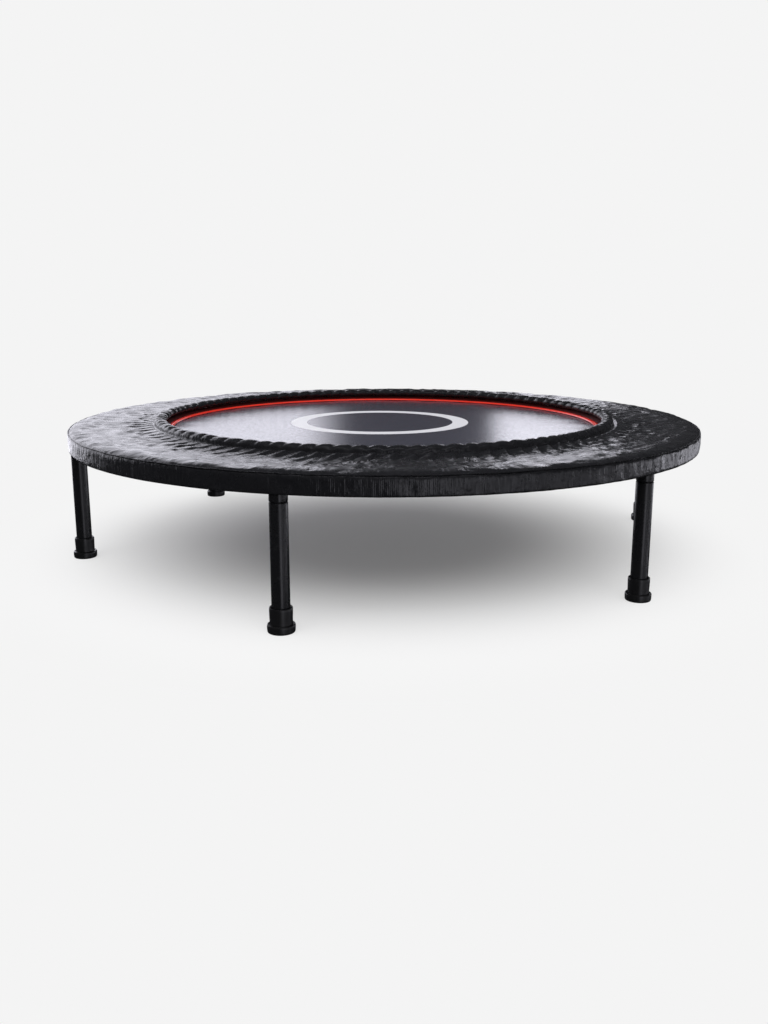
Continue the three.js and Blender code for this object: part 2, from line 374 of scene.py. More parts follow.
def turned_about_z(points, angle):
    """The same points turned about the upright axis."""
    c, s = math.cos(angle), math.sin(angle)
    turn = np.array([[c, -s, 0], [s, c, 0], [0, 0, 1]])
    return points @ turn.T


def leg_angle(index):
    return FIRST_LEG_ANGLE + index * 2 * math.pi / LEG_COUNT


def spring_angle(index):
    return FIRST_LEG_ANGLE + (index + 0.5) * 2 * math.pi / SPRING_COUNT


def ring_noise(theta, across, cells_round, cell_across, seed):
    """Smooth noise from -1 to 1 that closes round the object. cells_round is how many cells go
    round it, and cell_across the length of one cell the other way."""
    table_size = 64
    table = np.random.default_rng(seed).uniform(-1, 1, (cells_round, table_size))
    u = (theta / (2 * math.pi)) % 1 * cells_round
    v = across / cell_across + table_size / 2
    iu, iv = np.floor(u).astype(int), np.floor(v).astype(int)
    fu, fv = u - iu, v - iv
    fu = fu * fu * (3 - 2 * fu)
    fv = fv * fv * (3 - 2 * fv)
    iu, iv = iu % cells_round, iv % table_size
    iu1, iv1 = (iu + 1) % cells_round, (iv + 1) % table_size
    low = table[iu, iv] * (1 - fu) + table[iu1, iv] * fu
    high = table[iu, iv1] * (1 - fu) + table[iu1, iv1] * fu
    return low * (1 - fv) + high * fv


def smooth_step(x, low, high):
    t = np.clip((x - low) / (high - low), 0, 1)
    return t * t * (3 - 2 * t)


# ---------------------------------------- material helpers

def bands(count):
    """The scale at which a wave texture has this many bands in one unit of its coordinates."""
    return count / 20 * 2 * math.pi


class Finish:
    """A procedural material on one Principled shader, with helpers that add its detail."""

    def __init__(self, name, color, roughness, **sockets):
        self.material = bpy.data.materials.new(name)
        self.material.use_nodes = True
        self.tree = self.material.node_tree
        self.shader = self.tree.nodes["Principled BSDF"]
        self.shader.inputs["Base Color"].default_value = (*color, 1)
        self.shader.inputs["Roughness"].default_value = roughness
        for label, value in sockets.items():
            self.shader.inputs[label.replace("_", " ")].default_value = value
        self.height = None
        self.place = self.node("ShaderNodeTexCoord").outputs["Object"]

    def node(self, kind, **settings):
        made = self.tree.nodes.new(kind)
        for label, value in settings.items():
            setattr(made, label, value)
        return made

    def link(self, source, target):
        self.tree.links.new(source, target)

    def cloth_place(self, around, across):
        """The cloth's own coordinates, scaled to (around, across) cells."""
        uv = self.node("ShaderNodeUVMap", uv_map="cloth")
        scale = self.node("ShaderNodeVectorMath", operation="MULTIPLY")
        scale.inputs[1].default_value = (around, across, 1)
        self.link(uv.outputs[0], scale.inputs[0])
        return scale.outputs[0]

    def noise(self, scale, detail, place=None):
        made = self.node("ShaderNodeTexNoise")
        made.inputs["Scale"].default_value = scale
        made.inputs["Detail"].default_value = detail
        self.link(place or self.place, made.inputs["Vector"])
        return made.outputs["Fac"]

    def wave(self, scale, direction, distortion=0.0, place=None):
        made = self.node("ShaderNodeTexWave", bands_direction=direction)
        made.inputs["Scale"].default_value = scale
        made.inputs["Distortion"].default_value = distortion
        self.link(place or self.place, made.inputs["Vector"])
        return made.outputs["Fac"]

    def math(self, operation, first, second):
        made = self.node("ShaderNodeMath", operation=operation)
        for socket, value in zip(made.inputs, (first, second)):
            if isinstance(value, (int, float)):
                socket.default_value = value
            else:
                self.link(value, socket)
        return made.outputs[0]

    def between(self, fac, low, high, to_low, to_high):
        made = self.node("ShaderNodeMapRange", interpolation_type="SMOOTHSTEP")
        values = {"From Min": low, "From Max": high, "To Min": to_low, "To Max": to_high}
        for label, value in values.items():
            made.inputs[label].default_value = value
        self.link(fac, made.inputs["Value"])
        return made.outputs[0]

    def roughness(self, fac):
        self.link(fac, self.shader.inputs["Roughness"])

    def tint(self, fac, color):
        """Mixes another colour over the one so far, by fac."""
        mix = self.node("ShaderNodeMix", data_type="RGBA")
        base = self.shader.inputs["Base Color"]
        if base.is_linked:
            self.link(base.links[0].from_socket, mix.inputs[6])
        else:
            mix.inputs[6].default_value = base.default_value
        mix.inputs[7].default_value = (*color, 1)
        self.link(fac, mix.inputs[0])
        self.link(mix.outputs[2], base)

    def bump(self, fac, depth, strength):
        """Adds relief of this depth in metres on top of the relief so far."""
        made = self.node("ShaderNodeBump")
        made.inputs["Strength"].default_value = strength
        made.inputs["Distance"].default_value = depth
        self.link(fac, made.inputs["Height"])
        if self.height is not None:
            self.link(self.height, made.inputs["Normal"])
        self.height = made.outputs[0]
        self.link(self.height, self.shader.inputs["Normal"])


def powder_coat(name, color):
    """Satin powder coat: a fine orange peel, and a slightly uneven gloss."""
    finish = Finish(name, color, 0.27, Specular_IOR_Level=0.5)
    finish.bump(finish.noise(420, 2), 0.00012, 0.3)
    finish.bump(finish.noise(1500, 2), 0.00005, 0.3)
    finish.roughness(finish.between(finish.noise(38, 4), 0.3, 0.7, 0.23, 0.32))
    finish.tint(finish.between(finish.noise(120, 5), 0.62, 0.74, 0, 0.35), (0.02, 0.02, 0.022))
    return finish.material


def zinc(name):
    """Bright zinc plate with a fine grain and dull spots."""
    finish = Finish(name, (0.62, 0.63, 0.65), 0.3, Metallic=0.9)
    finish.roughness(finish.between(finish.noise(160, 4), 0.3, 0.7, 0.22, 0.42))
    finish.tint(finish.between(finish.noise(70, 4), 0.45, 0.7, 0, 0.6), (0.38, 0.37, 0.36))
    finish.bump(finish.noise(900, 2), 0.00006, 0.4)
    return finish.material


def rubber(name):
    """Moulded rubber: a fine grain, and a patchy dusty bloom."""
    finish = Finish(name, (0.006, 0.006, 0.0065), 0.33, Specular_IOR_Level=0.5)
    finish.bump(finish.noise(1100, 3), 0.0001, 0.4)
    finish.bump(finish.noise(160, 2), 0.00015, 0.25)
    finish.roughness(finish.between(finish.noise(60, 4), 0.3, 0.7, 0.28, 0.42))
    finish.tint(finish.between(finish.noise(90, 6), 0.55, 0.8, 0, 0.5), (0.016, 0.016, 0.016))
    return finish.material


def plastic(name, color):
    finish = Finish(name, color, 0.45)
    finish.bump(finish.noise(800, 2), 0.00006, 0.4)
    finish.roughness(finish.between(finish.noise(90, 3), 0.3, 0.7, 0.38, 0.52))
    return finish.material


def mat_weave():
    """Tight plain weave of flat plastic yarn, with a plain printed ring."""
    finish = Finish("Mat_weave", (0.046, 0.046, 0.062), 0.3, Specular_IOR_Level=0.45)
    warp = finish.wave(bands(0.5 / YARN_WIDTH), "X")
    weft = finish.wave(bands(0.5 / YARN_WIDTH), "Y")
    finish.bump(finish.math("MULTIPLY", warp, weft), 0.00005, 0.3)
    finish.bump(finish.noise(9, 2), 0.002, 0.06)
    offset = finish.node("ShaderNodeVectorMath", operation="SUBTRACT")
    offset.inputs[1].default_value = PRINT_CENTRE
    finish.link(finish.place, offset.inputs[0])
    flat = finish.node("ShaderNodeVectorMath", operation="MULTIPLY")
    flat.inputs[1].default_value = (1, 1, 0)
    finish.link(offset.outputs[0], flat.inputs[0])
    distance = finish.node("ShaderNodeVectorMath", operation="LENGTH")
    finish.link(flat.outputs[0], distance.inputs[0])
    away = distance.outputs["Value"]
    inside = finish.between(away, PRINT_OUTER - PRINT_BLUR, PRINT_OUTER + PRINT_BLUR, 1, 0)
    outside = finish.between(away, PRINT_INNER - PRINT_BLUR, PRINT_INNER + PRINT_BLUR, 0, 1)
    top = finish.node("ShaderNodeSeparateXYZ")
    finish.link(finish.place, top.inputs[0])
    above = finish.between(top.outputs["Z"], MAT_TOP_Z - 0.9 * MM, MAT_TOP_Z - 0.5 * MM, 0, 1)
    printed = finish.math("MULTIPLY", finish.math("MULTIPLY", inside, outside), above)
    finish.tint(finish.between(finish.noise(55, 4), 0.4, 0.75, 0, 0.3), (0.03, 0.03, 0.036))
    finish.tint(printed, (0.56, 0.56, 0.59))
    woven = finish.between(finish.noise(240, 3), 0.3, 0.7, 0.19, 0.25)
    finish.roughness(finish.math("ADD", woven, finish.math("MULTIPLY", printed, 0.22)))
    return finish.material


def vinyl(name, color, worn, roughness):
    """Soft sheet vinyl with patches of a worn colour."""
    finish = Finish(name, color, roughness, Specular_IOR_Level=0.55)
    finish.bump(finish.noise(320, 3), 0.0001, 0.2)
    finish.bump(finish.noise(30, 2), 0.001, 0.06)
    finish.roughness(finish.between(finish.noise(80, 4), 0.3, 0.7, roughness - 0.05, roughness + 0.06))
    finish.tint(finish.between(finish.noise(60, 5), 0.5, 0.8, 0, 0.4), worn)
    return finish.material


def coated_fabric(name, color=(0.008, 0.008, 0.0095), ribs=0.0, gloss=1.0):
    """Black coated polyester: woven grain, creases finer than the mesh holds, a waxy gloss. With
    ribs it has the skirt's fine upright ribs and puckers too."""
    finish = Finish(name, color, 0.3, Specular_IOR_Level=0.5 * gloss, Sheen_Weight=0.015,
                    Sheen_Roughness=0.4)
    finish.bump(finish.noise(1.0, 2, finish.cloth_place(2600, 260)), 0.0002, 0.3)
    finish.bump(finish.noise(1.0, 3, finish.cloth_place(330, 15)), 0.0022, 0.45)
    finish.bump(finish.noise(105, 3), 0.0018, 0.45)
    finish.bump(finish.noise(48, 2), 0.003, 0.4)
    if ribs:
        finish.bump(finish.wave(bands(RIB_COUNT), "X", 0.3, finish.cloth_place(1, 1)), 0.00022, ribs)
        finish.bump(finish.noise(1.0, 2, finish.cloth_place(560, 5)), 0.0022, 0.5)
    finish.roughness(finish.between(finish.noise(45, 5), 0.3, 0.7, 0.22, 0.33))
    finish.tint(finish.between(finish.noise(70, 6), 0.5, 0.8, 0, 0.5), (0.014, 0.014, 0.016))
    return finish.material


def elastic_tape():
    finish = Finish("Elastic_tape", (0.012, 0.012, 0.013), 0.8)
    finish.bump(finish.wave(120, "Z"), 0.0004, 0.6)
    finish.bump(finish.noise(600, 3), 0.0002, 0.5)
    return finish.material


def webbing():
    """Narrow woven strap with slanting ribs."""
    finish = Finish("Webbing", (0.02, 0.02, 0.022), 0.75, Sheen_Weight=0.3)
    finish.bump(finish.wave(95, "DIAGONAL", 0.3), 0.0003, 0.5)
    finish.bump(finish.noise(900, 3), 0.0002, 0.5)
    return finish.material


def thread():
    finish = Finish("Sewing_thread", (0.33, 0.012, 0.008), 0.5)
    finish.bump(finish.wave(260, "DIAGONAL"), 0.0001, 0.5)
    return finish.material


# ---------------------------------------- cover

# The cover's outer face in section, (radius, z) in millimetres, from under the gathered roll
# to the bottom of the skirt, and how many steps the stretch up to each point is cut into.
COVER_SECTION = [
    (369.0, 205.6, 0), (364.8, 205.7, 2), (361.0, 206.6, 2), (358.7, 209.0, 2), (358.0, 212.0, 2),
    (360.2, 215.2, 3), (365.4, 217.0, 3),
    (371.2, 216.4, 3), (375.4, 212.6, 3), (377.4, 206.8, 3), (380.4, 207.9, 2), (384.4, 207.6, 3),
    (389.6, 206.4, 3), (396.0, 205.3, 3), (405.0, 204.7, 3), (420.0, 204.4, 5), (440.0, 204.5, 5),
    (462.0, 205.5, 4), (479.0, 206.7, 4), (490.0, 207.0, 3), (498.0, 206.2, 2), (503.6, 204.5, 2),
    (507.1, 202.2, 2), (508.0, 199.0, 2), (508.0, 191.0, 3), (508.0, 184.0, 3), (508.0, 179.0, 2),
    (507.5, 177.2, 1), (506.5, 177.3, 1), (506.2, 178.4, 1),
]
SEAM_KNOT = 22                       # the point in that list where the top meets the skirt
COVER_COLUMNS = PUFF_COUNT * 11
INNER_ROWS = 14                      # the inner face needs fewer rows than the outer one
COVER_THICKNESS = 0.9 * MM
VALLEY_RADIUS = 377.4 * MM           # the stitch line outside the roll's elastic
ROLL_DEPTH = 4.2 * MM
STITCH_DEPTH = 1.3 * MM
LEAF_DEPTH = 5.6 * MM
CREASE_DEPTH = 2.0 * MM


def section_points():
    """The section above through a smooth curve, with the steps asked for, and the row of each knot."""
    knots = np.array([point[:2] for point in COVER_SECTION]) * MM
    padded = np.concatenate([2 * knots[:1] - knots[1:2], knots, 2 * knots[-1:] - knots[-2:-1]])
    points = []
    knot_rows = [0]
    for i, (_, _, steps) in enumerate(COVER_SECTION[1:]):
        p0, p1, p2, p3 = padded[i:i + 4]
        for t in np.arange(steps) / steps:
            points.append(0.5 * (2 * p1 + (p2 - p0) * t + (2 * p0 - 5 * p1 + 4 * p2 - p3) * t ** 2
                                 + (3 * p1 - p0 - 3 * p2 + p3) * t ** 3))
        knot_rows.append(len(points))
    points.append(knots[-1])
    return np.array(points), knot_rows


def per_puff(index, low, high, seed):
    """A random value for each gather round the cover."""
    table = np.random.default_rng(seed).uniform(low, high, PUFF_COUNT)
    return table[np.floor(index).astype(int) % PUFF_COUNT]


def ridged(theta, across, cells_round, cell_across, seed):
    """Sharp-crested creases from -1 to 1."""
    return 1 - 2 * np.abs(ring_noise(theta, across, cells_round, cell_across, seed)) ** 0.8


def roll_relief(theta, s, radius, puffs):
    """The roll: full puffs with a sharp crease between each two, and the stitch line outside them."""
    on_roll = (1 - smooth_step(radius, 372.8 * MM, 376.6 * MM)) * smooth_step(s, 9.2 * MM, 13.2 * MM)
    lean = puffs + 0.28 * (s - 22 * MM) / (14 * MM)
    full = np.abs(np.sin(math.pi * lean)) ** 0.38
    pleats = ridged(theta, s, 540, 12 * MM, 14)
    roll = ((full - 0.8) * ROLL_DEPTH * per_puff(lean, 0.75, 1.2, 13)
            + per_puff(lean, -0.45, 0.45, 15) * full * MM + pleats * 0.3 * MM) * on_roll
    return roll - STITCH_DEPTH * np.exp(-((radius - VALLEY_RADIUS) / (1.4 * MM)) ** 2)


def leaf_relief(theta, radius, puffs):
    """The second tier: leaves half a puff out of step, each lapping over the next, and the creases
    that run out from between them and die away at their own lengths."""
    out = (radius - VALLEY_RADIUS) / MM
    on_leaves = smooth_step(out, 0.8, 4.5) * (1 - smooth_step(out, 11, 27))
    leaf = puffs + 0.5 + 0.016 * out
    place = leaf - np.floor(leaf)
    lap = place ** 0.75 * (1 - smooth_step(place, 0.84, 1.0))
    slack = 0.22 + 0.78 * smooth_step(np.cos(theta - math.radians(280)), 0.62, 0.95)
    leaves = (lap - 0.45) * LEAF_DEPTH * slack * per_puff(leaf, 0.7, 1.25, 16) * on_leaves

    reach = per_puff(leaf + 0.5, 30, 84, 17)
    near_crease = np.abs(((leaf + 0.12 * ring_noise(theta, radius, 90, 26 * MM, 18)) % 1) - 0.02)
    near_crease = np.minimum(near_crease, 1 - near_crease)
    running = smooth_step(out, 10, 20) * (1 - smooth_step(out, 0.5 * reach, reach))
    return leaves - (np.exp(-(near_crease / 0.14) ** 2) - 0.25) * CREASE_DEPTH * running


def top_relief(theta, s, radius, s_seam):
    """The top: crumples about 20 mm across, finer and deeper towards the gathers."""
    on_top = smooth_step(radius - VALLEY_RADIUS, 10 * MM, 30 * MM) \
        * (1 - smooth_step(s, s_seam - 5 * MM, s_seam - 1 * MM))
    close = 1 - smooth_step(radius, 392 * MM, 450 * MM)
    crumples = ridged(theta, radius, 128, 15 * MM, 22)
    dimples = ring_noise(theta, radius, 190, 11 * MM, 23)
    radial = ridged(theta + 0.02 * ring_noise(theta, radius, 70, 60 * MM, 21), radius, 260, 40 * MM, 24)
    swells = ring_noise(theta, radius, 58, 42 * MM, 25)
    return on_top * (crumples * 0.85 + dimples * 0.5 + radial * 0.5 * close + swells * 0.5) * MM


def skirt_relief(theta, s, z, s_seam):
    """The skirt: soft upright gathers, most on the right in front, a ripple at its seam, and the
    joint where its ends meet."""
    on_skirt = smooth_step(s, s_seam, s_seam + 5 * MM)
    sway = theta + 0.006 * ring_noise(theta, z, 90, 12 * MM, 34)
    gathers = ridged(sway, z, 205, 30 * MM, 31)
    ripples = ring_noise(sway, z, 520, 24 * MM, 32)
    bulges = ring_noise(theta, z, 118, 17 * MM, 33)
    dents = smooth_step(ring_noise(sway, z, 260, 14 * MM, 36), 0.3, 0.8)
    puckered = 0.35 + 0.9 * smooth_step(np.cos(theta - math.radians(330)), 0.2, 0.95)
    from_joint = (theta - math.radians(270)) * COVER_RADIUS / MM
    joint = -0.7 * np.exp(-(from_joint / 0.9) ** 2) + 0.35 * smooth_step(-from_joint, 0, 3) \
        * (1 - smooth_step(-from_joint, 3, 14))
    hem = 0.3 + 0.7 * smooth_step(z, SKIRT_BOTTOM_Z, SKIRT_BOTTOM_Z + 8 * MM)
    ruck = 0.35 * MM * ring_noise(theta, s * 0, 420, 1, 35) * np.exp(-((s - s_seam) / (2.5 * MM)) ** 2)
    return ruck + on_skirt * hem * ((gathers * 0.45 + ripples * 0.3 - dents * 0.6) * puckered
                                    + bulges * 0.4 + joint + 0.35) * MM


def cover_relief(theta, s, radius, z, s_seam):
    """How far the cloth stands off its smooth section. theta is the angle round it, and s the
    length along the section."""
    warp = 0.25 * ring_noise(theta, s * 0, 31, 1, 11) + 0.12 * ring_noise(theta, s * 0, 88, 1, 12)
    puffs = theta / (2 * math.pi) * PUFF_COUNT + warp
    return (roll_relief(theta, s, radius, puffs) + leaf_relief(theta, radius, puffs)
            + top_relief(theta, s, radius, s_seam) + skirt_relief(theta, s, z, s_seam))


def cover_cloth():
    """The cloth as one closed sheet: its outer face, and its inner face one thickness inside."""
    section, knot_rows = section_points()
    seam_row = knot_rows[SEAM_KNOT]
    tangent = np.gradient(section, axis=0)
    tangent /= np.linalg.norm(tangent, axis=1)[:, None]
    normal = np.stack([-tangent[:, 1], tangent[:, 0]], -1)
    s = np.concatenate([[0], np.cumsum(np.linalg.norm(np.diff(section, axis=0), axis=1))])
    theta = np.linspace(0, 2 * math.pi, COVER_COLUMNS, endpoint=False)
    theta_grid, s_grid = np.meshgrid(theta, s, indexing="ij")
    radius_grid = np.broadcast_to(section[:, 0], theta_grid.shape)
    z_grid = np.broadcast_to(section[:, 1], theta_grid.shape)
    relief = cover_relief(theta_grid, s_grid, radius_grid, z_grid, s[seam_row])
    inner_rows = np.unique(np.linspace(0, len(section) - 1, INNER_ROWS).astype(int))[::-1]
    faces = []
    for rows, inset in ((np.arange(len(section)), 0), (inner_rows, COVER_THICKNESS)):
        r = radius_grid[:, rows] + normal[rows, 0] * (relief[:, rows] - inset)
        z = z_grid[:, rows] + normal[rows, 1] * (relief[:, rows] - inset)
        around = theta_grid[:, rows]
        faces.append(np.stack([r * np.cos(around), r * np.sin(around), z], -1))
    cloth = grid_object("Spring_cover", np.concatenate(faces, 1), wrap_u=True, wrap_v=True, uv=True)
    cloth.data.polygons.foreach_set("use_smooth", np.ones(len(cloth.data.polygons), bool))
    cloth.data.materials.append(coated_fabric("Cover_fabric"))
    cloth.data.materials.append(coated_fabric("Skirt_fabric", ribs=0.5))
    row = np.tile(np.arange(len(section) + len(inner_rows)), COVER_COLUMNS)
    on_skirt = (row >= seam_row) & (row < len(section))
    cloth.data.polygons.foreach_set("material_index", on_skirt.astype(np.int32))
    cloth.data.update()
    return cloth


def piping():
    """A slightly wavy welt cord sewn along the top outer seam."""
    low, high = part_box("cover_piping")
    centre_z = (low.z + high.z) / 2 - 2.6 * MM
    centre_r = high.x - 0.5 * MM
    theta = np.linspace(0, 2 * math.pi, 900, endpoint=False)
    wobble_r = 0.25 * MM * ring_noise(theta, theta * 0, 170, 1, 41)
    wobble_z = 0.3 * MM * ring_noise(theta, theta * 0, 130, 1, 42)
    angle = np.linspace(0, 2 * math.pi, 8, endpoint=False)
    r = (centre_r + wobble_r)[:, None] + 0.85 * MM * np.cos(angle)[None, :]
    z = (centre_z + wobble_z)[:, None] + 0.85 * MM * np.sin(angle)[None, :]
    grid = np.stack([r * np.cos(theta)[:, None], r * np.sin(theta)[:, None], z], -1)
    cord = grid_object("Cover_piping", grid, wrap_u=True, wrap_v=True, uv=True)
    finish_mesh(cord)
    cord.data.materials.append(coated_fabric("Piping_fabric", (0.005, 0.005, 0.006), gloss=0.3))
    return cord


def add_cover():
    cloth = cover_cloth()
    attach(cloth, "frame")
    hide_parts("cover")
    cord = piping()
    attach(cord, "frame")
    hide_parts("cover_piping")
    flat_ring = [(370.4, 207.6), (371.9, 207.6), (371.9, 212.4), (370.4, 212.4), (370.4, 207.6)]
    tape = turned("Roll_elastic", softened(flat_ring, 0.5, 2), 240)
    tape.data.materials.append(elastic_tape())
    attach(tape, "frame")
    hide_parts("inner_elastic")


# ---------------------------------------- mat, binding and wire rings

def add_mat():
    """The mat is pulled a little out of flat where each spring takes hold."""
    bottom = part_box("mat")[0].z
    theta = np.linspace(0, 2 * math.pi, 360, endpoint=False)
    radius = MAT_RADIUS * np.sqrt(np.linspace(0, 1, 40))
    t, r = np.meshgrid(theta, radius, indexing="ij")
    depth = 0.25 * MM
    pull = depth * np.cos(SPRING_COUNT * (t - spring_angle(0))) * smooth_step(r, 0.27, 0.36)
    sheets = []
    for z, order in ((MAT_TOP_Z, slice(None)), (bottom, slice(None, None, -1))):
        sheets.append(np.stack([r * np.cos(t), r * np.sin(t), z - depth + pull], -1)[:, order])
    mat = grid_object("Jumping_mat", np.concatenate(sheets, 1), wrap_u=True)
    finish_mesh(mat, 40)
    mat.data.materials.append(mat_weave())
    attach(mat, "mat")
    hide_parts("mat")


def add_band():
    """A vinyl binding that wraps the mat's edge: a round lip, a sewn line behind it, and a slope that
    climbs outwards under the cover to a second sewn line."""
    outline = softened([
        (364.6, 195.5), (364.6, 197.7), (347.6, 197.65), (348.2, 199.2), (349.8, 200.4), (352.2, 200.6),
        (354.0, 199.7), (356.6, 200.4), (363.0, 202.4), (369.2, 204.4), (371.8, 202.8), (372.0, 195.0),
        (370.0, 193.7), (350.4, 193.8), (350.0, 195.35), (364.6, 195.5),
    ], 1.0, 4)
    band = turned("Mat_edge_band", outline, 360)
    band.data.materials.append(vinyl("Red_vinyl", (0.6, 0.026, 0.014), (0.42, 0.014, 0.009), 0.2))
    # The slope under the cover's roll is the same red vinyl, but it is coloured near-black maroon as painted
    # shade: the roll's shadow is painted into its colour.
    band.data.materials.append(vinyl("Painted_shade_vinyl", (0.045, 0.004, 0.004), (0.02, 0.003, 0.003), 0.5))
    centres = np.empty(len(band.data.polygons) * 3)
    band.data.polygons.foreach_get("center", centres)
    x, y, z = centres.reshape(-1, 3).T
    # The faces on the slope under the roll take the painted shade material.
    painted_shade_slope = (np.hypot(x, y) > 354.2 * MM) & (z > 198.5 * MM)
    band.data.polygons.foreach_set("material_index", painted_shade_slope.astype(np.int32))
    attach(band, "mat")
    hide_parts("mat_edge_band")


def add_stitches():
    """The binding's two sewn lines: radius and height in millimetres, and how many stitches."""
    stitches = []
    for radius, z, count in ((354.1, 199.85, 430), (368.4, 204.1, 440)):
        for i in range(count):
            angle = 2 * math.pi * i / count
            half = 0.34 * 2 * math.pi / count
            arc = np.linspace(angle - half, angle + half, 4)
            lift = np.array([0, 0.35, 0.35, 0]) * MM
            path = np.stack([radius * MM * np.cos(arc), radius * MM * np.sin(arc), z * MM + lift], -1)
            stitches.append(swept(path, 0.32 * MM, 5))
    sewn = many_tubes("Band_stitches", stitches)
    sewn.data.materials.append(thread())
    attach(sewn, "mat")


def many_tubes(name, tubes):
    """One mesh of separate closed wires, from the grids that swept() gives."""
    vertices, faces, start = [], [], 0
    for grid in tubes:
        sides = grid.shape[1]
        count = grid.shape[0] - 2
        vertices += [grid[0, :1], grid[1:-1].reshape(-1, 3), grid[-1, :1]]
        last = start + 1 + count * sides
        for i in range(count - 1):
            a = start + 1 + i * sides
            for k in range(sides):
                k2 = (k + 1) % sides
                faces.append((a + k, a + k2, a + sides + k2, a + sides + k))
        for k in range(sides):
            k2 = (k + 1) % sides
            faces.append((start, start + 1 + k2, start + 1 + k))
            faces.append((last, last - sides + k, last - sides + k2))
        start = last + 1
    mesh = bpy.data.meshes.new(name)
    mesh.from_pydata(np.concatenate(vertices).tolist(), [], faces)
    made = bpy.data.objects.new(name, mesh)
    bpy.context.scene.collection.objects.link(made)
    return finish_mesh(made)


def wire_ring_path():
    """A triangular wire ring: a bar at the mat's edge and a rounded tip that the hook holds."""
    bar_x, tip_x, half, z = 377 * MM, 391 * MM, 11 * MM, 192.9 * MM
    corners = [Vector((bar_x, -half, z)), Vector((bar_x, half, z)), Vector((tip_x, 2.2 * MM, z)),
               Vector((tip_x, -2.2 * MM, z))]
    points = []
    for i, corner in enumerate(corners):
        points += rounded_corner(corners[i - 1], corner, corners[(i + 1) % 4], 2.0 * MM, 4)
    points.append(points[0] + (points[1] - points[0]) * 0.2)
    return np.array([tuple(p) for p in points])


def add_wire_rings():
    """Each spring's hook holds a wire ring, and a folded webbing tab sews that ring to the mat."""
    ring_path = wire_ring_path()
    rings = [swept(turned_about_z(ring_path, spring_angle(i)), 1.2 * MM, 8) for i in range(SPRING_COUNT)]
    wires = many_tubes("Mat_wire_rings", rings)
    wires.data.materials.append(zinc("Ring_wire"))
    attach(wires, "mat")
    # The tab in section, from under the mat round the bar and back.
    section = [(350, 193.3), (368, 193.3), (374.5, 194.4), (377.6, 194.7), (379.4, 193.0), (377.4, 191.2),
               (374.0, 191.6), (368, 192.0), (350, 192.1)]
    outline = softened(section, 1.6, 3)
    tabs = []
    half = 8.5 * MM
    strap = np.stack([np.stack([outline[:, 0], np.full(len(outline), y), outline[:, 1]], -1)
                      for y in np.linspace(-half, half, 5)])
    for i in range(SPRING_COUNT):
        loop = turned_about_z(strap.reshape(-1, 3), spring_angle(i)).reshape(strap.shape)
        tabs.append(grid_object(f"tab_{i}", loop, wrap_v=True))
    webbing_tabs = join("Mat_webbing_tabs", tabs)
    close_holes(webbing_tabs)
    webbing_tabs.data.materials.append(webbing())
    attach(webbing_tabs, "mat")


def close_holes(made):
    """Fills each open edge loop, then merges, orients and shades the mesh."""
    work = bmesh.new()
    work.from_mesh(made.data)
    edges = [e for e in work.edges if e.is_boundary]
    bmesh.ops.holes_fill(work, edges=edges, sides=0)
    work.to_mesh(made.data)
    work.free()
    return finish_mesh(made, 35)


# ---------------------------------------- springs

SPRING_WIRE_RADIUS = 1.05 * MM
COIL_RADIUS = 4.6 * MM
COIL_TURNS = 22
COIL_START = 15 * MM                 # from the inner hook
COIL_LENGTH = 57 * MM


def spring_path():
    """Inner hook, coil and outer hook, along the line from the wire ring to the frame's hole."""
    axis = SPRING_OUTER - SPRING_INNER
    length = axis.length
    axis.normalize()
    up = Vector((0, 0, 1))
    side = up.cross(axis).normalized()
    lift = axis.cross(side).normalized()

    def at(along, sideways, upward):
        return tuple(SPRING_INNER + axis * along + side * sideways + lift * upward)

    hook = 2.35 * MM
    points = [at(5.5 * MM, 0, -hook), at(2.5 * MM, 0, -hook)]
    for step in range(1, 8):
        angle = -math.pi / 2 - math.pi * step / 8
        points.append(at(hook * math.cos(angle), 0, hook * math.sin(angle)))
    points += [at(0, 0, hook), at(4 * MM, 0, hook), at(8 * MM, 0, hook), at(11 * MM, 0, 3.1 * MM)]
    turn_steps = 14
    for step in range(COIL_TURNS * turn_steps + 1):
        angle = 2 * math.pi * step / turn_steps
        along = COIL_START + COIL_LENGTH * step / (COIL_TURNS * turn_steps)
        points.append(at(along, COIL_RADIUS * math.sin(angle), COIL_RADIUS * math.cos(angle)))
    coil_end = COIL_START + COIL_LENGTH
    points += [at(coil_end + 2.5 * MM, 0, 3.0 * MM), at(coil_end + 5 * MM, 0, 0.6 * MM),
               at(coil_end + 9 * MM, 0, 0), at(length - 3.2 * MM, 0, 0), at(length - 1.4 * MM, 0, -0.5 * MM),
               at(length - 0.6 * MM, 0, -2.0 * MM), at(length - 0.7 * MM, 0, -4.0 * MM)]
    return np.array(points)


def add_springs():
    path = spring_path()
    plate = zinc("Spring_zinc")
    for i in range(SPRING_COUNT):
        angle = spring_angle(i)
        number = f"{i + 1:02d}"
        wire = swept(turned_about_z(path, angle), SPRING_WIRE_RADIUS, 6, up=(0.31, 0.2, 0.93))
        spring = many_tubes(f"Coil_spring_{number}", [wire])
        spring.data.materials.append(plate)
        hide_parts(f"spring_{number}")
        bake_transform(spring)


# ---------------------------------------- ring frame

def drill(angle, line, radius, sides):
    """A solid cylinder along a line of two points, turned about the upright axis."""
    return many_tubes("drill", [swept(turned_about_z(np.array(line), angle), radius, sides)])


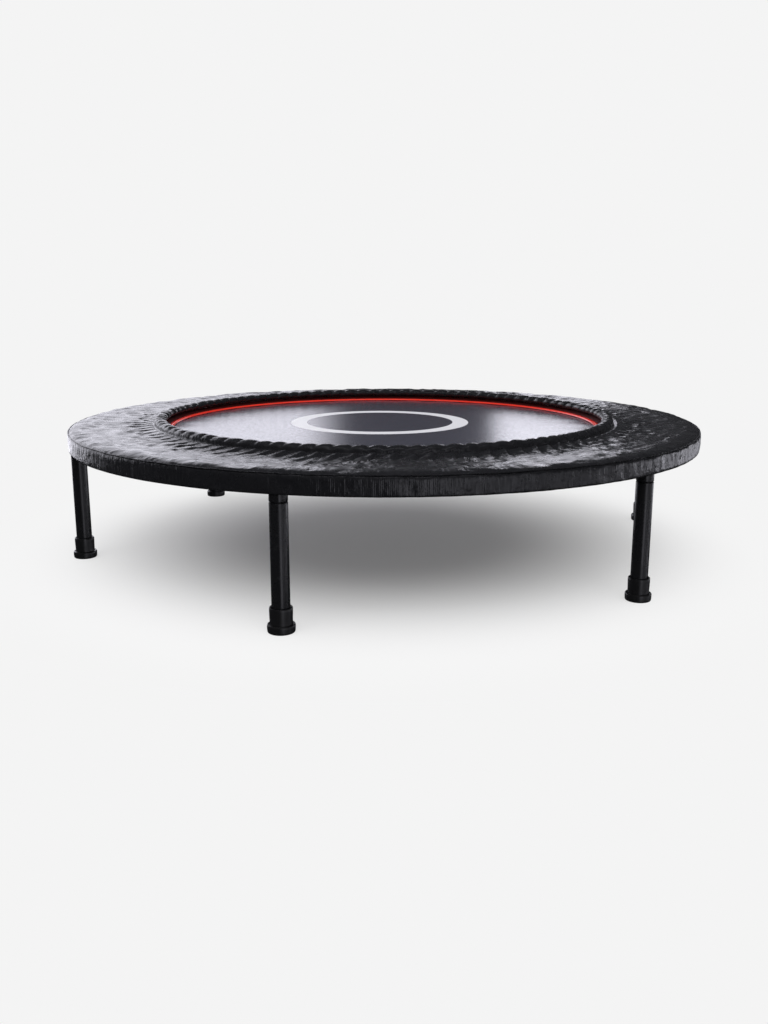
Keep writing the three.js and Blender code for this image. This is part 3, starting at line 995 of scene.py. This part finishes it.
def add_ring():
    """The hollow tube, with a drilled hole for each spring hook and each leg stud."""
    def torus(radius):
        angle = np.linspace(0, 2 * math.pi, 28, endpoint=False)
        outline = np.stack([RING_RADIUS + radius * np.cos(angle), RING_Z + radius * np.sin(angle)], -1)
        return turned("torus", outline, 300, closed=True)

    outer = torus(RING_TUBE_RADIUS)
    inner = torus(RING_TUBE_RADIUS - RING_WALL)
    inner.data.flip_normals()
    reach = RING_RADIUS - RING_TUBE_RADIUS
    hook_line = [(reach - 4 * MM, 0, RING_Z), (reach + 6 * MM, 0, RING_Z)]
    stud_line = [(LEG_CIRCLE, 0, RING_Z - 1.4 * RING_TUBE_RADIUS), (LEG_CIRCLE, 0, RING_Z)]
    drills = [drill(spring_angle(i), hook_line, 2.4 * MM, 20) for i in range(SPRING_COUNT)]
    drills += [drill(leg_angle(i), stud_line, 5.7 * MM, 28) for i in range(LEG_COUNT)]
    ring = join("Frame_ring_tube", [outer, inner])
    cutter = join("cutter", drills)
    cut = ring.modifiers.new("holes", "BOOLEAN")
    cut.object = cutter
    cut.operation = "DIFFERENCE"
    cut.solver = "EXACT"
    evaluated = ring.evaluated_get(bpy.context.evaluated_depsgraph_get())
    mesh = bpy.data.meshes.new_from_object(evaluated)
    ring.modifiers.clear()
    ring.data = mesh
    bpy.data.objects.remove(cutter)
    ring.data.polygons.foreach_set("use_smooth", np.ones(len(mesh.polygons), bool))
    ring.data.set_sharp_from_angle(angle=math.radians(40))
    ring.data.materials.clear()
    ring.data.materials.append(powder_coat("Ring_powder_coat", (0.01, 0.01, 0.011)))
    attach(ring, "frame")
    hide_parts("frame_ring")


# ---------------------------------------- legs

def thread_surface(z_low, z_high):
    """An M10 thread: a closed grid whose radius follows a helix, and which fades out at its top."""
    sides = 28
    rows = int((z_high - z_low) / STUD_PITCH * 8)
    z = np.linspace(z_low, z_high, rows)
    theta = np.linspace(0, 2 * math.pi, sides, endpoint=False)
    t, zz = np.meshgrid(theta, z, indexing="ij")
    phase = (zz / STUD_PITCH - t / (2 * math.pi)) % 1
    crest = 1 - np.abs(2 * phase - 1)
    fade = smooth_step(z_high - zz, 0, 1.5 * MM)
    r = STUD_RADIUS - THREAD_DEPTH * (1 - crest * fade)
    grid = np.stack([r * np.cos(t), r * np.sin(t), zz], -1)
    first = np.zeros((sides, 1, 3)) + (0, 0, z_low)
    last = np.zeros((sides, 1, 3)) + (0, 0, z_high)
    return np.concatenate([first, grid, last], 1)


def weld_bead(name, angle):
    """The rippled weld where a socket meets the ring tube."""
    theta = np.linspace(0, 2 * math.pi, 96, endpoint=False)
    across = LEG_RADIUS * np.cos(theta) + (LEG_CIRCLE - RING_RADIUS)
    drop = np.sqrt(np.maximum(RING_TUBE_RADIUS ** 2 - across ** 2, 0))
    x = LEG_CIRCLE + LEG_RADIUS * np.cos(theta)
    y = LEG_RADIUS * np.sin(theta)
    z = RING_Z - drop
    inset = 0.6 * MM * np.cos(theta)
    path = turned_about_z(np.stack([x - np.maximum(inset, 0), y, np.minimum(z, RING_Z - 6 * MM)], -1), angle)
    ripple = 1 + 0.18 * np.sin(theta * 24)
    section = np.linspace(0, 2 * math.pi, 10, endpoint=False)
    outward = turned_about_z(np.stack([np.cos(theta), np.sin(theta), theta * 0], -1), angle)
    size = 1.25 * MM * ripple
    sideways = (size[:, None] * np.cos(section))[..., None]
    upward = (size[:, None] * np.sin(section))[..., None]
    grid = path[:, None, :] + outward[:, None, :] * sideways * 0.5 + np.array([0, 0, 1.0]) * upward
    return finish_mesh(grid_object(name, grid, wrap_u=True, wrap_v=True))


def leg_piece(name, number, body, node, outline, material):
    """A turned piece on one leg's axis."""
    angle = leg_angle(number - 1)
    centre = (LEG_CIRCLE * math.cos(angle), LEG_CIRCLE * math.sin(angle))
    made = turned(f"{name}_{number}", outline, 56, centre, sharp=38)
    made.data.materials.append(material)
    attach(made, body)
    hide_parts(f"{node}_{number}")


def add_legs():
    paint = powder_coat("Leg_powder_coat", (0.006, 0.006, 0.007))
    bead_paint = powder_coat("Socket_powder_coat", (0.006, 0.006, 0.007))
    plated = zinc("Stud_zinc")
    nylon = plastic("Black_nylon", (0.006, 0.006, 0.007))
    moulded = rubber("Foot_rubber")
    top = LEG_TOP_Z / MM
    socket_bottom = SOCKET_BOTTOM_Z / MM
    socket = softened([(5.35, 176.5), (5.35, socket_bottom), (11.8, socket_bottom), (11.8, 181.4),
                       (9.0, 181.4), (9.0, 176.5), (5.35, 176.5)], 0.5, 3)
    low, high = top + 0.4, top + 1.2
    washer = softened([(5.5, low), (11.1, low), (11.1, high), (5.5, high), (5.5, low)], 0.3, 3)
    tube = softened([(0, top - 4), (10.6, top - 4), (10.6, 4.4), (11.8, 4.4), (11.8, top),
                     (4.6, top), (0, top)], 0.6, 4)
    foot = softened([
        (0, 0.05), (16.8, 0.0), (17.7, 1.5), (18.05, 8.6), (17.6, 10.5), (16.3, 10.7), (15.3, 9.6),
        (14.5, 10.0), (14.6, 17.0), (14.95, 29.9), (14.6, 32.3), (13.4, 32.5), (12.5, 31.2),
        (12.1, 30.8), (12.1, 4.2), (0, 4.2),
    ], 0.9, 4)
    for number in range(1, LEG_COUNT + 1):
        angle = leg_angle(number - 1)
        leg_piece("Leg_socket_stub", number, "frame", "leg_socket", socket, bead_paint)
        bead = weld_bead(f"Socket_weld_{number}", angle)
        bead.data.materials.append(bead_paint)
        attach(bead, "frame")
        leg_piece("Nylon_washer", number, f"leg_washer_{number}", "leg_washer", washer, nylon)
        body = f"leg_{number}"
        leg_piece("Leg_tube_painted", number, body, "leg_tube", tube, paint)
        leg_piece("Rubber_ferrule", number, body, "rubber_foot", foot, moulded)
        grid = thread_surface((top - 2) * MM, (top + 18) * MM)
        centre = np.array([LEG_CIRCLE * math.cos(angle), LEG_CIRCLE * math.sin(angle), 0])
        stud = finish_mesh(grid_object(f"Leg_stud_{number}", grid + centre, wrap_u=True), 50)
        stud.data.materials.append(plated)
        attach(stud, body)


# ---------------------------------------- the scene

add_camera()
light_scene()
add_cover()
add_mat()
add_band()
add_stitches()
add_wire_rings()
add_springs()
add_ring()
add_legs()
